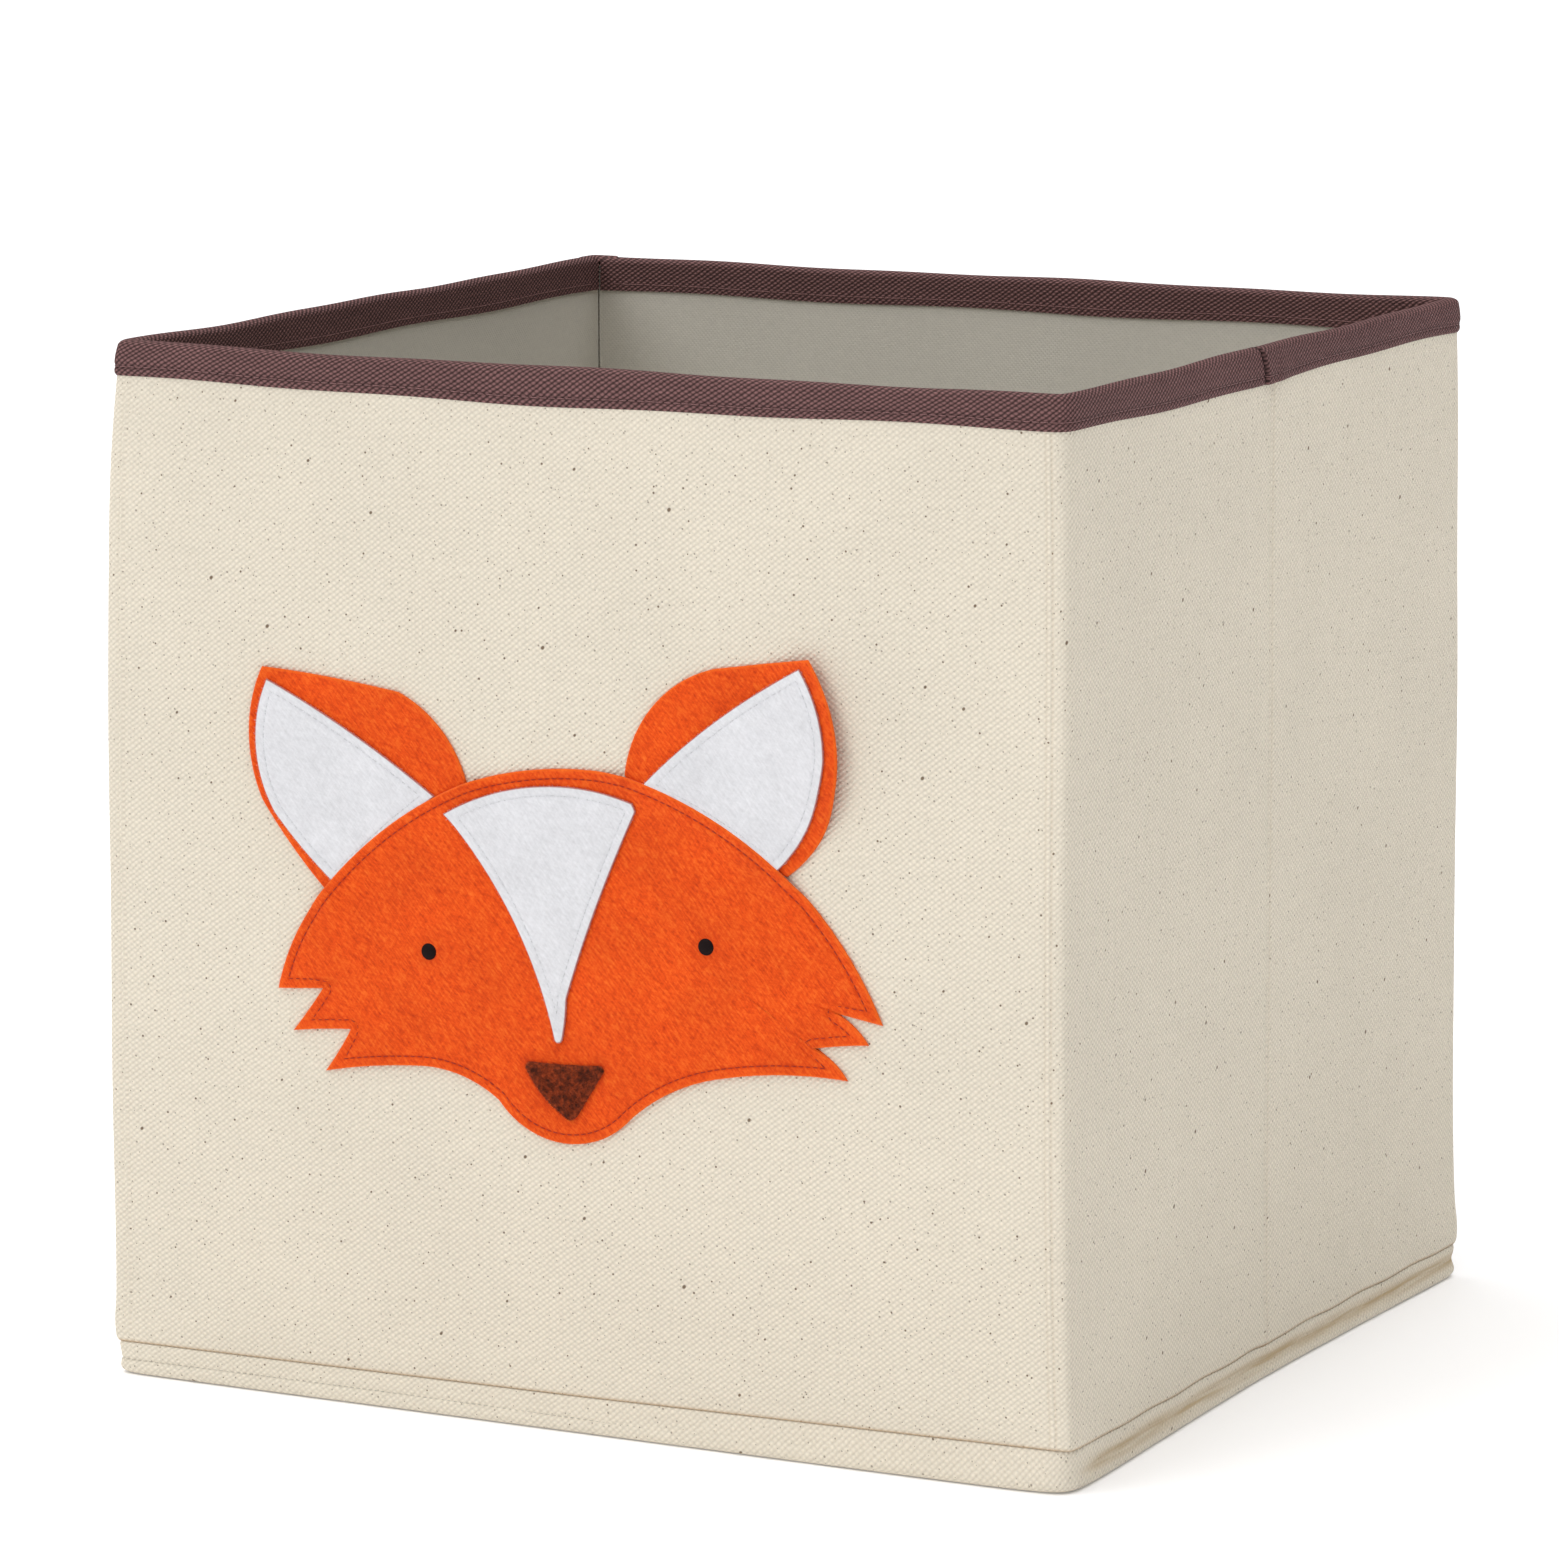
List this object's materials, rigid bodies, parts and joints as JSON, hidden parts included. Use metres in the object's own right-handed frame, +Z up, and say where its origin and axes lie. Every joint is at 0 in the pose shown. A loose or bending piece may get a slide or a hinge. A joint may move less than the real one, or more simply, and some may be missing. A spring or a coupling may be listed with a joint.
{
  "type": "fabric storage bin",
  "caption": "Fold-flat canvas storage bin with stiffened walls, brown rim binding, a raised base welt, a loose base insert and a felt fox face on the front.",
  "frame": {"origin": "centre of the bin's footprint, on the surface it stands on", "axes": "+Z up, -Y the front with the fox face, +X to the right when facing the front"},
  "size_m": [0.3296, 0.3196, 0.33],
  "materials": {
    "canvas": "natural plain-weave cotton canvas",
    "board": "grey paperboard stiffener",
    "lining": "off-white non-woven lining",
    "binding": "dark brown woven binding tape",
    "orange_felt": "orange craft felt",
    "white_felt": "white craft felt",
    "nose_flock": "brown flocked patch",
    "eye": "black domed eye"
  },
  "bodies": {
    "front_and_base": {"canvas_front": "canvas", "board_front": "board", "lining_front": "lining", "binding_front": "binding", "base_welt": "canvas", "base_canvas": "canvas", "base_lining": "lining", "face_felt": "orange_felt", "left_ear_felt": "orange_felt", "right_ear_felt": "orange_felt", "left_inner_ear_felt": "white_felt", "right_inner_ear_felt": "white_felt", "blaze_felt": "white_felt", "nose_felt": "nose_flock", "left_eye": "eye", "right_eye": "eye"},
    "right_front_panel": {"canvas_right_front": "canvas", "board_right_front": "board", "lining_right_front": "lining", "binding_right_front": "binding"},
    "right_rear_panel": {"canvas_right_rear": "canvas", "board_right_rear": "board", "lining_right_rear": "lining", "binding_right_rear": "binding"},
    "left_front_panel": {"canvas_left_front": "canvas", "board_left_front": "board", "lining_left_front": "lining", "binding_left_front": "binding"},
    "left_rear_panel": {"canvas_left_rear": "canvas", "board_left_rear": "board", "lining_left_rear": "lining", "binding_left_rear": "binding"},
    "back_panel": {"canvas_back": "canvas", "board_back": "board", "lining_back": "lining", "binding_back": "binding"},
    "base_insert": {"insert_board": "board", "insert_cover_bottom": "lining", "insert_cover_top": "lining"}
  },
  "joints": [
    {"name": "fold_flat", "type": "hinge", "parent": "front_and_base", "child": "right_front_panel", "pos_m": [0.1575, -0.1525, 0], "axis": [0, 0, 1], "range_deg": [0, 89]},
    {"name": "right_crease", "type": "hinge", "parent": "right_front_panel", "child": "right_rear_panel", "pos_m": [0.1628, 0, 0], "axis": [0, 0, 1], "range_deg": [-178, 0]},
    {"name": "back_right_corner", "type": "hinge", "parent": "right_rear_panel", "child": "back_panel", "pos_m": [0.1575, 0.1525, 0], "axis": [0, 0, 1], "range_deg": [0, 89]},
    {"name": "front_left_corner", "type": "hinge", "parent": "front_and_base", "child": "left_front_panel", "pos_m": [-0.1575, -0.1525, 0], "axis": [0, 0, 1], "range_deg": [-89, 0]},
    {"name": "left_crease", "type": "hinge", "parent": "left_front_panel", "child": "left_rear_panel", "pos_m": [-0.1628, 0, 0], "axis": [0, 0, 1], "range_deg": [0, 178]},
    {"name": "insert_lift", "type": "slide", "parent": "front_and_base", "child": "base_insert", "axis": [0, 0, 1], "range_m": [0, 0.345]}
  ],
  "couplings": [
    {"joint": "right_crease", "follows": "fold_flat", "ratio": -2},
    {"joint": "back_right_corner", "follows": "fold_flat", "ratio": 1},
    {"joint": "front_left_corner", "follows": "fold_flat", "ratio": -1},
    {"joint": "left_crease", "follows": "fold_flat", "ratio": 2}
  ]
}
